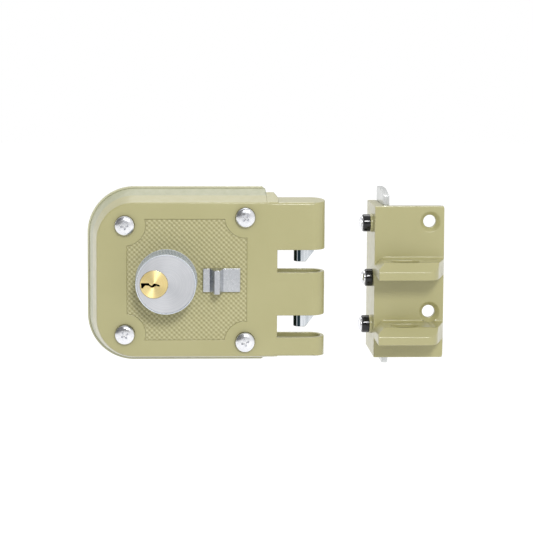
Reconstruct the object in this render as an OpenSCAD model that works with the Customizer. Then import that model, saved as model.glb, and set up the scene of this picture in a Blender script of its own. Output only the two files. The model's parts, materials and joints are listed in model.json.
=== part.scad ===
// Rim box lock with vertical interlocking bolts, and its angle strike.
// Origin: key axis on the door face. +X towards the strike, -Y out of the door, +Z up.
// All lengths in millimetres.

/* [Case] */
// Depth of the case from the door face to its front face
case_d = 21; // [20.5:0.5:26]
// Height of the front face
case_h = 70.3; // [69:0.1:76]
// Distance from the key axis to the left edge of the front face
case_left = 26.2; // [25:0.1:32]
// Distance from the key axis to the end of the deep box
deep_right = 50.8; // [50.8:0.1:52]
// Radius of the two left corners on the front face
corner_r = 17.3; // [10:0.1:19]
// Share of the sides' spread that the radius of the left corners gains
corner_share = 0.8; // [0.6:0.05:1]
// How far the sides spread outwards from the front face to the door face
draft = 5.2; // [2:0.1:7]
// Rounding of the front edges
edge_r = 0.7; // [0.4:0.1:1.6]
// Thickness of the front wall
front_wall = 2; // [1.6:0.1:2.2]
// Thickness of the side walls
side_wall = 2.4; // [1.8:0.1:3]
// Thickness of the back plate
back_t = 2; // [1.5:0.1:2.4]
// Step of the back plate past the rim of the case
back_lip = 0.8; // [0:0.1:1]
// Chamfer of the back plate's right corners
back_chamfer = 1.4; // [0.5:0.1:3]
// Radius of the case's inner posts round the door screws
post_r = 4.6; // [4:0.1:4.8]

/* [Fingers] */
// Distance from the key axis to the floor of the two gaps
gap_wall_x = 55.5; // [55.5:0.1:57]
// Thickness of the wall at the floor of the gaps
gap_wall = 2.2; // [1.6:0.1:2.4]
// Distance from the key axis to the finger ends
finger_end = 77.4; // [76.5:0.1:80]
// Depth of the fingers from the front face
finger_d = 13; // [12:0.1:13.4]
// Wall of the hollow fingers
finger_wall = 1.8; // [1.4:0.1:2]
// Slope of the top and bottom finger faces over the finger depth
finger_draft = 1.2; // [0.4:0.1:2]
// Thickness of the closed ends at the top and the bottom finger
finger_cap = 2; // [1.5:0.1:2.2]
// Top of the upper gap
gap1_top = 13.5; // [13:0.1:14]
// Bottom of the upper gap
gap1_bottom = 3.3; // [2.5:0.1:4]
// Top of the lower gap
gap2_top = -16.5; // [-17:0.1:-15.5]
// Bottom of the lower gap
gap2_bottom = -26.5; // [-27:0.1:-25.5]
// Depth of the shoulder beside the fingers
shoulder_d = 14; // [13.6:0.1:15]
// Right end of the shoulder at its back edge
shoulder_x = 54.3; // [53:0.1:55]
// Run of the shoulder's sloped end
shoulder_slope = 1.9; // [1:0.1:3]

/* [Panel] */
// Left edge of the sunken panel
panel_left = -12.5; // [-14:0.5:-11]
// Right edge of the sunken panel
panel_right = 41.6; // [40:0.2:44]
// Height of the sunken panel
panel_h = 55; // [50:1:58]
// Depth of the sunken panel
panel_depth = 0.5; // [0.3:0.1:0.8]
// Radius of the raised pads round the door screws
pad_r = 9.4; // [7:0.2:10]

/* [Door screws] */
// X of the two left door screws
screw_left_x = -13.5; // [-15:0.5:-12]
// Height of the left door screws above and below the key axis
screw_left_z = 24.8; // [23:0.2:25.4]
// X of the two right door screws
screw_right_x = 40.9; // [40:0.1:41.2]
// Height of the right door screws above and below the key axis
screw_right_z = 28.4; // [27.8:0.1:28.6]
// Diameter of the door screws
screw_d = 4.8; // [4:0.1:5]
// Length of the door screws under the head
screw_len = 38; // [30:1:50]
// Diameter of the door screw heads
head_d = 9.2; // [8:0.1:10]
// Height of the door screw heads
head_h = 2.7; // [2:0.1:3.2]

/* [Cylinder] */
// Diameter of the collar at the case
collar_base_d = 28; // [27:0.1:29]
// Wall of the collar round the cylinder's head
collar_wall = 0.7; // [0.6:0.05:1.2]
// Widening of the collar from its front to the case, on the diameter
collar_flare = 0.9; // [0:0.1:2]
// Projection of the collar from the front face
collar_h = 12.5; // [10:0.5:15]
// Height of the collar's rim over the cylinder face
rim_h = 0.4; // [0.2:0.1:0.8]
// Thinnest wall of the cylinder beside the plug
cyl_web = 0.48; // [0.4:0.02:0.8]
// Thickness of the cylinder's head
cyl_head_t = 2.2; // [1.5:0.1:3]
// Step from the cylinder's head to its body, on the radius
cyl_step = 0.85; // [0.75:0.05:1]
// Wall of the ring nut
nut_wall = 2.5; // [1.5:0.1:3]
// Thickness of the ring nut
nut_t = 2.6; // [2:0.1:3]
// Diameter of the plug
plug_d = 12.5; // [12:0.1:12.8]
// Height of the keyway
keyway_h = 2.1; // [1.4:0.1:2.4]
// Distance from the key axis to the blind end of the keyway
keyway_end = 2.6; // [1.5:0.1:3]
// Number of pin stacks
pin_count = 5; // [3:1:5]
// Diameter of the pins
pin_d = 2.9; // [2.4:0.1:3]
// Distance from the head's face to the first pin stack
pin_first = 3.6; // [3.5:0.1:4]
// Distance from the last pin stack to the end of the cylinder
pin_last = 2.4; // [2.2:0.1:3]

/* [Slide] */
// Gap between the collar and the slide's plate
snib_space = 2.53; // [2.33:0.1:3.03]
// Width of the slide's plate
snib_w = 16.8; // [15.6:0.1:17]
// Height of the slide's plate
snib_h = 10.75; // [9:0.25:12]
// Thickness of the slide's plate
snib_t = 1.15; // [0.8:0.05:1.5]
// Gap between the slide's plate and the front face
snib_gap = 0.15; // [0.1:0.05:0.3]
// Distance from the plate's left edge to the rib
rib_x = 3.2; // [2:0.1:5]
// Width of the rib at its foot
rib_w = 6; // [4:0.1:7]
// Width of the rib at its top
rib_top_w = 2.4; // [1.5:0.1:3.5]
// Height of the rib over the plate
rib_h = 6.3; // [4:0.1:8]
// Travel of the slide
snib_travel = 5; // [3:0.1:5]
// Width of the stem through the case
stem_w = 4; // [3:0.1:4.4]
// Thickness of the bar behind the front wall
bar_t = 1.4; // [1:0.1:1.6]

/* [Bolts] */
// Left edge of the bolts
bolt_x = 63.4; // [63:0.1:64]
// Width of the bolts
bolt_w = 9.7; // [8:0.1:10]
// Depth of the bolts
bolt_d = 5.4; // [4.6:0.1:5.6]
// Distance from the front face to the middle of the bolts
bolt_mid = 7.9; // [7.6:0.1:8]
// Height of the upper bolt's tip at rest
bolt1_tip = 7.5; // [7:0.1:8]
// Height of the lower bolt's tip at rest
bolt2_tip = -22.6; // [-23:0.1:-22]
// Length of the bolts
bolt_len = 18; // [17.6:0.1:18.2]
// Width of the flat tip left by the bevel
bolt_flat = 5.3; // [3.5:0.1:6]
// Angle of the bolt bevel from the horizontal
bolt_bevel = 52; // [40:1:60]
// Travel of the bolts upwards from rest
throw_up = 6.3; // [5:0.1:6.4]
// Travel of the bolts downwards from rest
throw_down = 8; // [6:0.1:8.2]
// Height of the arms that carry the bolts
arm_h = 3.5; // [2.5:0.1:3.6]
// Thickness of the carrier's plate
carrier_t = 3; // [2:0.1:3.2]

/* [Drive] */
// Radius of the crank
crank_r = 11.5; // [11:0.1:12]
// Radius of the crank roller
roller_r = 3; // [2.5:0.1:3.2]
// Play of the roller in the carrier's fork
fork_play = 0.3; // [0.25:0.05:0.5]
// Radius of the hub's disc
hub_r = 8.5; // [8:0.1:9]
// Thickness of the hub's disc
hub_t = 3; // [2:0.1:3.2]
// Radius of the hub's journal
journal_r = 7; // [6:0.1:7.2]
// Wall of the hub's bush
bush_wall = 1.5; // [1:0.1:2]
// Width of the tailpiece
tail_w = 6; // [5:0.1:6.6]
// Thickness of the tailpiece
tail_t = 1.8; // [1.2:0.1:2.2]
// Radius of the carrier's guide studs
stud_r = 3; // [2.4:0.1:3.2]
// X of the left guide stud
stud1_x = 23.2; // [23:0.1:24]
// X of the right guide stud
stud2_x = 39; // [36:0.2:40]
// Height of the guide studs
stud_z = 1.5; // [0:0.1:2]

/* [Strike] */
// Distance from the key axis to the strike's left face
strike_x = 101.9; // [95:0.1:120]
// Width of the strike's plate
strike_w = 32.5; // [31:0.5:36]
// Top of the strike
strike_top = 31.6; // [30.5:0.1:34]
// Bottom of the strike
strike_bottom = -39.7; // [-44:0.1:-38.5]
// Thickness of the strike's plate and of its flange
strike_t = 4.5; // [3:0.1:5]
// Depth of the relief in the strike's inner corner
strike_relief = 0.4; // [0.2:0.1:0.6]
// Depth of the flange behind the door face
flange_d = 24; // [18:0.5:26]
// Bottom of the upper lug
lug1_z = -0.7; // [-1.5:0.1:0.5]
// Bottom of the lower lug
lug2_z = -30.6; // [-31:0.1:-29]
// Height of the lug's front face
lug_face = 3.8; // [2:0.1:4.4]
// Height of the lug at the top of its bevel
lug_h = 7.7; // [6:0.1:8]
// Height that the lug's top gains towards the plate
lug_rise = 0.1; // [0:0.1:1]
// Gap of the lugs behind the case's front face
lug_setback = 0.5; // [0.3:0.1:1]
// Radius of the lug's front right corner in plan
lug_end_r = 5; // [3:0.5:8]
// Angle between the lug's front and its right end in plan
lug_end_angle = 70; // [60:1:80]
// Cut of the lug's upper left corner
lug_cut = 4; // [2:0.1:5]
// Width of the bolt holes in the lugs
hole_w = 12.6; // [11.4:0.1:13]
// Depth of the bolt holes in the lugs
hole_d = 6.6; // [6.2:0.1:7]
// Distance from the strike's left face to the bolt holes
hole_x = 6.9; // [6:0.1:8]
// Diameter of the plate's screw holes
plate_hole_d = 5.9; // [5:0.1:6.4]
// Diameter of their countersinks
sink_d = 9.7; // [8.5:0.1:10.4]
// Distance from the strike's left face to its screw holes
plate_hole_x = 25.9; // [24:0.1:26.4]
// Height of the upper screw hole
plate_hole1_z = 24.4; // [23.5:0.1:25.4]
// Height of the lower screw hole
plate_hole2_z = -18.2; // [-18.6:0.1:-16]

/* [Anchor] */
// Thickness of the anchor plate
anchor_t = 2.8; // [1.5:0.1:3]
// Top of the anchor plate
anchor_top = 38.5; // [36:0.1:44]
// Bottom of the anchor plate
anchor_bottom = -43.4; // [-48:0.1:-42]
// Chamfer of the anchor plate's corners
anchor_chamfer = 1; // [0.5:0.1:3]
// Drop of the anchor plate's top edge towards the door face
anchor_drop = 2.4; // [1:0.1:4]
// Length of that slope along the depth
anchor_run = 12; // [6:0.5:16]
// Distance of the side screws behind the door face
side_screw_y = 4.2; // [4.2:0.1:5]
// Outer diameter of the black bushings
bushing_d = 8.6; // [7:0.1:9]
// Diameter of the side screws
side_screw_d = 4; // [3.5:0.1:4]
// Diameter of the side screws' heads
side_head_d = 6.5; // [6:0.1:7.4]
// Length of the side screws from the strike's left face
side_screw_len = 20; // [14:1:26]

/* [Fits] */
// Radial play of shafts that turn
run_play = 0.05; // [0.02:0.01:0.1]
// Play of parts that slide past each other
slide_play = 0.1; // [0.1:0.05:0.2]
// Radial play round screws
screw_play = 0.2; // [0.1:0.05:0.4]

/* [Hidden] */
$fn = 64;
// Faces of curved edges inside blended shells
hull_fn = 32;
// Thickness of the slices that a blended shell is drawn from
slice = 0.02;
// Overshoot of cuts past a face
over = 1;
// Share of the front edge's rounding at its middle slice
edge_mid = 0.3;
// How far the shoulder and the fingers reach into the deep box
shoulder_root = 8;
finger_root = 2;
// How far the inner posts sink into the front wall
post_sink = 0.5;

// Planes across the depth, from the front to the door face
front_y = -case_d;
cavity_y = front_y + front_wall;
inner_back_y = -back_t;
finger_back_y = front_y + finger_d;
shoulder_back_y = front_y + shoulder_d;
collar_front_y = front_y - collar_h;
head_y = collar_front_y + rim_h;
bolt_y = front_y + bolt_mid;

// Half the height of the front outline
half_h = case_h / 2;

// Drive stack, counted inwards from the door face
bush_flange_t = 1.4;
bush_flange_w = 1.6;
bush_flange_y = inner_back_y - bush_flange_t;
hub_back_y = bush_flange_y - slide_play;
hub_front_y = hub_back_y - hub_t;
carrier_gap = 0.3;
carrier_back_y = hub_front_y - carrier_gap;
carrier_front_y = carrier_back_y - carrier_t;
clip_t = 0.8;
clip_w = 1.4;
groove_depth = 1;
plug_gap = 0.5;
plug_end_t = 0.3;
plug_back_y = carrier_front_y - plug_gap;
shell_back_y = plug_back_y - plug_end_t - clip_t - slide_play;
groove_y = shell_back_y + slide_play;

// Tailpiece: how deep it sits in the plug, and the pin through it
tail_seat = 1.6;
tail_pin_r = 0.8;
tail_gap = 0.6;

// Cylinder and collar, with the cylinder's centre set off from the key axis
collar_d = collar_base_d - collar_flare;
cyl_head_d = collar_d - 2 * collar_wall;
cyl_d = cyl_head_d - 2 * cyl_step;
cyl_offset = cyl_d / 2 - plug_d / 2 - cyl_web;
nut_d = cyl_d + 2 * nut_wall;
nut_slot_w = 2;
nut_slot_h = 3;

// Plug and its pins
plug_r = plug_d / 2;
plug_hole_r = plug_r + run_play;
pin_r = pin_d / 2;
pin_hole_r = pin_r + run_play;
driver_len = 3.4;
coil_play = 0.1;
coil_t = 0.5;
cover_t = 1;
cover_half = 2.2;
cover_edge = 1;
cover_x = cyl_offset + cyl_d / 2 - cover_t - cover_edge;
keyway_back_y = groove_y - tail_seat;
keyway_step = 2.4;
ward_x = -plug_r * 0.62;
ward_h = 0.7;
ward_lap = 0.2;
chamber_lap = 0.4;
key_pin_lap = 0.2;
pin_span = shell_back_y - pin_last - head_y - pin_first;
pin_list = [for (i = [0 : pin_count - 1]) head_y + pin_first + i * pin_span / (pin_count - 1)];

// Carrier and bolts
bar_left = 46.6;
bar_right = 52.4;
bar_block_z = 8;
arm_reach = 4.6;
arm_end = bolt_x + arm_reach;
arm_t = 3.8;
arm_list = [bolt1_tip + bolt_len - arm_h, bolt2_tip + bolt_len - arm_h];
carrier_side_gap = 0.6;
carrier_right = deep_right - side_wall - carrier_side_gap;
carrier_top = 17;
carrier_bottom = -15;
fork_left = 5.2;
fork_end_gap = 0.5;
fork_end = crank_r + roller_r + fork_end_gap;
fork_relief_z = 13;
fork_relief_r = 5;
rivet_r = 1.3;
rivet_len = 4;
rivet_x = arm_end - 2.3;
bolt_edge = 0.6;

// Slide
snib_left = cyl_offset + collar_base_d / 2 + snib_space;
stem_inset = 6.7;
stem_x = snib_left + stem_inset;
stem_h = 5;
bar_inset = 0.4;
bar_x0 = snib_left + bar_inset;
bar_end_gap = 2.1;
bar_len = gap_wall_x - gap_wall - snib_travel - bar_end_gap - bar_x0;
bar_h = 12;
bar_y = cavity_y + slide_play;
snib_y = front_y - snib_gap;
slide_screw_r = 0.9;
slide_screw_len = 1.8;
slide_head_r = 1.9;
slide_head_t = 0.9;

// Leaf springs, with a rivet through the foot of each
leaf_t = 0.4;
leaf_w = 3.6;
leaf_inset = 16.4;
leaf_x = snib_left + leaf_inset;
leaf_foot_z = -15;
leaf_knee_z = -9.5;
leaf_end_z = 3;
leaf_rivet_z = -12.5;
leaf_rivet_len = 0.9;
small_rivet_r = 1;
small_head_r = 1.6;
small_head_t = 0.7;
hub_leaf_gap = 0.2;
hub_leaf_x = -hub_r - hub_leaf_gap - leaf_t;
hub_leaf_z = 14;
hub_leaf_half = 2;
hub_leaf_end = -9;
hub_foot_t = 0.6;
hub_foot_end = -3.8;
hub_rivet_x = -6.5;

// Screws and rivets that hold the back plate
back_screw_r = 1.5;
back_screw_len = 9;
back_sink_t = 1.3;
back_head_w = 1.3;
back_head_gap = 0.1;
back_slot_w = 0.7;
back_boss_r = 3.2;
back_screw_x = 20;
back_screw_z = half_h - 3.4;
back_screw_left = -19;
back_screw_list = [[back_screw_left, 0], [back_screw_x, back_screw_z], [back_screw_x, -back_screw_z]];
door_screw_list = [
    [screw_left_x, screw_left_z], [screw_left_x, -screw_left_z],
    [screw_right_x, screw_right_z], [screw_right_x, -screw_right_z]
];
// Mean radius of the door screws' threads, and their cross recess
thread_depth = 0.2;
thread_r = screw_d / 2 - thread_depth;
point_r = 0.3;
head_flat = 0.7;
recess_size = head_d * 0.52;
recess_depth = 1.6;
recess_turn = 20;
stud_list = [[stud1_x, stud_z], [stud2_x, stud_z]];
stud_rivet_r = 2;
stud_flange_w = 1.3;
stud_head_t = 1.2;
stud_front_y = carrier_front_y - slide_play - stud_head_t;

// Strike: height, length of the black bushing and length over the screw's dome
strike_right = strike_x + strike_w;
plate_y = -strike_t;
lug_front_y = front_y + lug_setback;
lug_bevel_y = lug_front_y + lug_h - lug_face;
lug_fillet = 1;
hole_back = 0.3;
hole_y = bolt_y + hole_back;
sink_reach = 14;
anchor_x = strike_x + strike_t;
side_point = 4;
side_head_flat = 0.2;
side_screw_list = [[22.8, 4.9, 6.3], [-3.2, 3.5, 5.5], [-25.4, 4.9, 6.3]];

// A flat shape in X and Z, thickened along Y from y0
module in_xz(y0, t) {
    translate([0, y0 + t, 0]) rotate([90, 0, 0]) linear_extrude(t) children();
}

// A flat shape in Y and Z, thickened along X from x0
module in_yz(x0, t) {
    translate([x0, 0, 0]) rotate([90, 0, 90]) linear_extrude(t) children();
}

// A flat shape in X and Y, thickened along Z from z0
module in_xy(z0, t) {
    translate([0, 0, z0]) linear_extrude(t) children();
}

// A round bar along Y
module rod_y(x, z, y0, len, r) {
    translate([x, y0, z]) rotate([-90, 0, 0]) cylinder(h = len, r = r);
}

// A round bar along X
module rod_x(y, z, x0, len, r) {
    translate([x0, y, z]) rotate([0, 90, 0]) cylinder(h = len, r = r);
}

// A flat ring along Y
module ring_y(x, z, y0, len, r_out, r_in) {
    difference() {
        rod_y(x, z, y0, len, r_out);
        rod_y(x, z, y0 - over, len + 2 * over, r_in);
    }
}

// A block given by its two ends on each axis
module block(x0, x1, y0, y1, z0, z1) {
    translate([x0, y0, z0]) cube([x1 - x0, y1 - y0, z1 - z0]);
}

// Outline of the deep box in X and Z, grown outwards except at its right end
module box_outline(grow, right) {
    r = corner_r + grow * (grow > 0 ? corner_share : 1);
    top = half_h + grow;
    corner_x = r - case_left - grow;
    corner_z = top - r;
    translate([corner_x, -top]) square([right - corner_x, 2 * top]);
    translate([corner_x - r, -corner_z]) square([r + over, 2 * corner_z]);
    for (side = [-1, 1]) translate([corner_x, side * corner_z]) circle(r = r);
}

// Outward growth of the drafted sides at a plane
function draft_at(y) = draft * (y - front_y) / case_d;

module deep_box() {
    hull() {
        in_xz(front_y, slice) box_outline(-edge_r, deep_right, $fn = 2 * hull_fn);
        in_xz(front_y + edge_mid * edge_r, slice)
            box_outline(draft_at(front_y) - edge_mid * edge_r, deep_right, $fn = 2 * hull_fn);
        in_xz(front_y + edge_r, slice)
            box_outline(draft_at(front_y + edge_r), deep_right, $fn = 2 * hull_fn);
        in_xz(inner_back_y - slice, slice)
            box_outline(draft_at(inner_back_y), deep_right, $fn = 2 * hull_fn);
    }
}

module deep_cavity() {
    hull() {
        in_xz(cavity_y, slice)
            box_outline(draft_at(cavity_y) - side_wall, deep_right - side_wall, $fn = 2 * hull_fn);
        in_xz(inner_back_y, slice)
            box_outline(draft_at(inner_back_y) - side_wall, deep_right - side_wall, $fn = 2 * hull_fn);
    }
}

// Shallow part of the case beside the fingers, drafted like the box
module shoulder() {
    top_y = half_h + draft_at(shoulder_back_y);
    finger_top = half_h + finger_draft;
    root_x = deep_right - shoulder_root;
    intersection() {
        in_yz(root_x, finger_end) polygon([
            [front_y, half_h - edge_r], [front_y + edge_r, half_h + draft_at(front_y + edge_r)],
            [shoulder_back_y, top_y], [shoulder_back_y, -top_y],
            [front_y + edge_r, -half_h - draft_at(front_y + edge_r)], [front_y, edge_r - half_h]
        ]);
        in_xz(front_y, shoulder_d) polygon([
            [root_x, top_y], [shoulder_x, top_y], [shoulder_x + shoulder_slope, finger_top],
            [gap_wall_x, half_h - edge_r], [gap_wall_x, edge_r - half_h],
            [shoulder_x + shoulder_slope, -finger_top], [shoulder_x, -top_y], [root_x, -top_y]
        ]);
    }
}

// Plan of the fingers, with round ends
module finger_plan(inset) {
    r = finger_d / 2 - inset;
    mid_y = front_y + finger_d / 2;
    x0 = gap_wall_x - gap_wall - finger_root;
    translate([x0, mid_y - r]) square([finger_end - finger_d / 2 - x0, 2 * r]);
    translate([finger_end - finger_d / 2, mid_y]) circle(r = r);
}

module fingers() {
    intersection() {
        in_xy(-case_h, 2 * case_h) finger_plan(0);
        in_yz(gap_wall_x - gap_wall - finger_root, finger_end) polygon([
            [front_y, half_h - edge_r], [front_y + edge_r, half_h],
            [finger_back_y, half_h + finger_draft], [finger_back_y, -half_h - finger_draft],
            [front_y + edge_r, -half_h], [front_y, edge_r - half_h]
        ]);
    }
}

// Gaps between the fingers, cut through from front to back
module finger_gaps() {
    for (gap = [[gap1_bottom, gap1_top], [gap2_bottom, gap2_top]])
        block(gap_wall_x, finger_end + over, front_y - over, shoulder_back_y + over, gap[0], gap[1]);
}

// Hollows of the fingers and of the case behind them
module finger_hollows() {
    cap_z = half_h - finger_cap;
    for (z = [[gap1_top, cap_z], [gap2_top, gap1_bottom], [-cap_z, gap2_bottom]])
        in_xy(z[0], z[1] - z[0]) finger_plan(finger_wall);
    block(deep_right - side_wall - over, gap_wall_x - gap_wall, cavity_y,
        finger_back_y - finger_wall, -cap_z, cap_z);
}

module panel_recess() {
    in_xz(front_y - over, over + panel_depth) difference() {
        translate([panel_left, -panel_h / 2]) square([panel_right - panel_left, panel_h]);
        for (p = door_screw_list) translate(p) circle(r = pad_r);
    }
}

module case_body() {
    color([0.73, 0.71, 0.54]) difference() {
        union() {
            difference() {
                union() {
                    deep_box();
                    shoulder();
                    fingers();
                }
                deep_cavity();
                finger_hollows();
                finger_gaps();
            }
            for (p = door_screw_list)
                rod_y(p[0], p[1], cavity_y - post_sink, inner_back_y - cavity_y + post_sink, post_r);
            for (p = back_screw_list)
                rod_y(p[0], p[1], cavity_y - post_sink, inner_back_y - cavity_y + post_sink, back_boss_r);
        }
        panel_recess();
        for (p = door_screw_list)
            rod_y(p[0], p[1], front_y - over, case_d + over, screw_d / 2 + screw_play);
        for (p = back_screw_list)
            rod_y(p[0], p[1], -back_screw_len - over, back_screw_len + over, back_screw_r);
        rod_y(cyl_offset, 0, front_y - over, front_wall + 2 * over, cyl_d / 2 + run_play);
        block(stem_x - slide_play, stem_x + stem_w + snib_travel + slide_play,
            front_y - over, cavity_y + over, -stem_h / 2 - slide_play, stem_h / 2 + slide_play);
        rod_y(leaf_x + leaf_w / 2, leaf_rivet_z, cavity_y - leaf_rivet_len, leaf_rivet_len + over,
            small_rivet_r);
    }
}

module back_plate() {
    top = half_h + draft_at(inner_back_y) + back_lip;
    cut_y = inner_back_y - over;
    cut_t = back_t + 2 * over;
    color([0.70, 0.70, 0.55]) difference() {
        in_xz(inner_back_y, back_t) difference() {
            box_outline(draft_at(inner_back_y) + back_lip, deep_right);
            for (side = [-1, 1])
                translate([deep_right, side * top]) rotate(45)
                    square(back_chamfer * sqrt(2), center = true);
        }
        for (p = door_screw_list) rod_y(p[0], p[1], cut_y, cut_t, screw_d / 2 + screw_play);
        for (p = stud_list) rod_y(p[0], p[1], cut_y, cut_t, stud_rivet_r);
        rod_y(hub_rivet_x, hub_leaf_z, cut_y, cut_t, small_rivet_r);
        rod_y(0, 0, cut_y, cut_t, journal_r + run_play + bush_wall);
        for (p = back_screw_list) {
            rod_y(p[0], p[1], cut_y, cut_t, back_screw_r + screw_play);
            translate([p[0], -back_sink_t, p[1]]) rotate([-90, 0, 0])
                cylinder(h = back_sink_t + slice, r1 = back_screw_r + screw_play,
                    r2 = back_screw_r + back_head_w + screw_play);
        }
    }
}

// Flat-headed screws from the door side into the case's bosses
module back_plate_screws() {
    color("silver") for (p = back_screw_list) {
        difference() {
            union() {
                rod_y(p[0], p[1], -back_screw_len, back_screw_len - back_head_gap, back_screw_r);
                translate([p[0], -back_sink_t, p[1]]) rotate([-90, 0, 0])
                    cylinder(h = back_sink_t - back_head_gap, r1 = back_screw_r,
                        r2 = back_screw_r + back_head_w);
            }
            block(p[0] - back_boss_r, p[0] + back_boss_r, -back_slot_w, over,
                p[1] - back_slot_w / 2, p[1] + back_slot_w / 2);
        }
    }
}

// Half outline of a domed screw head: radius against height
function dome_points(r, h, flat) = concat(
    [[0, 0], [r, 0], [r, flat]],
    [for (a = [15 : 15 : 75]) [r * cos(a * 0.85), flat + (h - flat) * sin(a)]],
    [[r * 0.22, h], [0, h]]
);

// Cross recess for a screwdriver, sunk along +Z from the origin
module cross_recess(size, depth) {
    for (turn = [0, 90]) rotate(turn)
        translate([-size / 2, -size / 10, -depth]) cube([size, size / 5, depth + over]);
    translate([0, 0, -depth]) cylinder(h = depth + over, r = size / 4.6);
}

module door_screws() {
    color("gainsboro") for (p = door_screw_list) translate([p[0], front_y, p[1]]) {
        difference() {
            rotate([90, 0, 0]) rotate_extrude() polygon(dome_points(head_d / 2, head_h, head_flat));
            rotate([90, 0, 0]) rotate(recess_turn) translate([0, 0, head_h])
                cross_recess(recess_size, recess_depth);
        }
        translate([0, -head_flat, 0]) rotate([-90, 0, 0])
            cylinder(h = case_d + head_flat, r = screw_d / 2);
        rotate([-90, 0, 0]) cylinder(h = screw_len - screw_d, r = thread_r);
        translate([0, screw_len - screw_d, 0]) rotate([-90, 0, 0])
            cylinder(h = screw_d, r1 = thread_r, r2 = point_r);
    }
}

// Knurled collar that clamps the cylinder to the front face
module cylinder_collar() {
    color("silver") difference() {
        translate([cyl_offset, front_y + panel_depth, 0]) rotate([90, 0, 0])
            cylinder(h = collar_h + panel_depth, r1 = collar_base_d / 2, r2 = collar_d / 2, $fn = 96);
        rod_y(cyl_offset, 0, collar_front_y - over, collar_h + 3 * over, cyl_d / 2 + run_play);
        rod_y(cyl_offset, 0, collar_front_y - over, over + rim_h + cyl_head_t,
            cyl_head_d / 2 + run_play);
    }
}

// Row of pin chambers along X, from the plug's bore outwards
module chamber_row(x0, x1, r) {
    for (y = pin_list) rod_x(y, 0, x0, x1 - x0, r);
}

module cylinder_shell() {
    color("silver") difference() {
        union() {
            rod_y(cyl_offset, 0, head_y, shell_back_y - head_y, cyl_d / 2);
            rod_y(cyl_offset, 0, head_y, cyl_head_t, cyl_head_d / 2);
        }
        rod_y(0, 0, head_y - over, shell_back_y - head_y + 2 * over, plug_hole_r);
        chamber_row(plug_r - over, cover_x + slice, pin_hole_r);
        block(cover_x, cover_x + cover_t, head_y + cyl_head_t, shell_back_y + over,
            -cover_half, cover_half);
    }
}

module cylinder_nut() {
    color("darkgray") difference() {
        ring_y(cyl_offset, 0, cavity_y, nut_t, nut_d / 2, cyl_d / 2);
        for (turn = [45, 135]) translate([cyl_offset, cavity_y + nut_t, 0]) rotate([0, turn, 0])
            cube([nut_d + over, nut_slot_w, nut_slot_h], center = true);
    }
}

// Strip that closes the pin chambers
module chamber_cover() {
    color("goldenrod")
        block(cover_x, cover_x + cover_t, head_y + cyl_head_t, shell_back_y, -cover_half, cover_half);
}

module driver_pins() {
    color("gold") for (y = pin_list) rod_x(y, 0, plug_hole_r, driver_len, pin_r);
}

module pin_springs() {
    spring_x = plug_hole_r + driver_len;
    color("gray") for (y = pin_list) difference() {
        rod_x(y, 0, spring_x, cover_x - spring_x, pin_r - coil_play);
        rod_x(y, 0, spring_x - over, cover_x - spring_x + 2 * over, pin_r - coil_play - coil_t);
    }
}

// The keyway is stepped, and widened by a ward at the plug's edge
module plug() {
    half = keyway_h / 2;
    color("gold") difference() {
        rod_y(0, 0, head_y, plug_back_y - head_y, plug_r);
        block(-plug_r - over, keyway_end - keyway_step, head_y - over, keyway_back_y, -half, half);
        block(-plug_r - over, keyway_end, head_y - over, keyway_back_y, -half, 0);
        block(-plug_r - over, ward_x, head_y - over, keyway_back_y,
            half - ward_lap, half - ward_lap + ward_h);
        chamber_row(keyway_end - chamber_lap, plug_r + over, pin_hole_r);
        ring_y(0, 0, groove_y, clip_t, plug_r + over, plug_r - groove_depth);
        block(-tail_w / 2, tail_w / 2, plug_back_y - tail_seat, plug_back_y + over,
            -tail_t / 2, tail_t / 2);
        rod_y(0, 0, groove_y + plug_end_t, plug_back_y - groove_y + over, tail_pin_r);
    }
}

module key_pins() {
    color("gold") for (y = pin_list)
        rod_x(y, 0, keyway_end - key_pin_lap, plug_r - keyway_end, pin_r);
}

// Open ring that keeps the plug in the shell
module plug_clip() {
    color("dimgray") difference() {
        ring_y(0, 0, groove_y, clip_t, plug_r + clip_w, plug_r - groove_depth);
        block(-plug_d, 0, groove_y - over, groove_y + clip_t + over, -plug_r / 2, plug_r / 2);
    }
}

module tailpiece() {
    color("silver") difference() {
        block(-tail_w / 2, tail_w / 2, plug_back_y - tail_seat, hub_back_y - tail_gap,
            -tail_t / 2, tail_t / 2);
        rod_y(0, 0, plug_back_y - tail_seat - over, tail_seat + over + plug_end_t, tail_pin_r);
    }
}

// Pin that holds the tailpiece in the plug
module tailpiece_pin() {
    color("dimgray") rod_y(0, 0, groove_y + plug_end_t, plug_back_y - groove_y, tail_pin_r);
}

module drive_hub() {
    color("lightgray") difference() {
        union() {
            rod_y(0, 0, hub_front_y, hub_t, hub_r);
            rod_y(0, 0, hub_back_y - slice, -hub_back_y + slice, journal_r);
            block(0, crank_r, hub_front_y, hub_back_y, -roller_r, roller_r);
            rod_y(crank_r, 0, hub_front_y, hub_t, roller_r);
        }
        block(-tail_w / 2 - slide_play, tail_w / 2 + slide_play, hub_front_y - over, over,
            -tail_t / 2 - slide_play, tail_t / 2 + slide_play);
        rod_y(crank_r, 0, hub_front_y - over, hub_t + 2 * over, roller_r / 2);
    }
}

module crank_pin() {
    pin_y = carrier_front_y - carrier_gap;
    color("dimgray") rod_y(crank_r, 0, pin_y, hub_back_y - pin_y, roller_r / 2);
}

module crank_roller() {
    color("silver") ring_y(crank_r, 0, carrier_front_y, carrier_t, roller_r, roller_r / 2 + run_play);
}

module hub_bush() {
    color("goldenrod") difference() {
        union() {
            rod_y(0, 0, bush_flange_y, -bush_flange_y, journal_r + run_play + bush_wall);
            rod_y(0, 0, bush_flange_y, bush_flange_t, journal_r + run_play + bush_wall + bush_flange_w);
        }
        rod_y(0, 0, bush_flange_y - over, -bush_flange_y + 2 * over, journal_r + run_play);
    }
}

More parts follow.
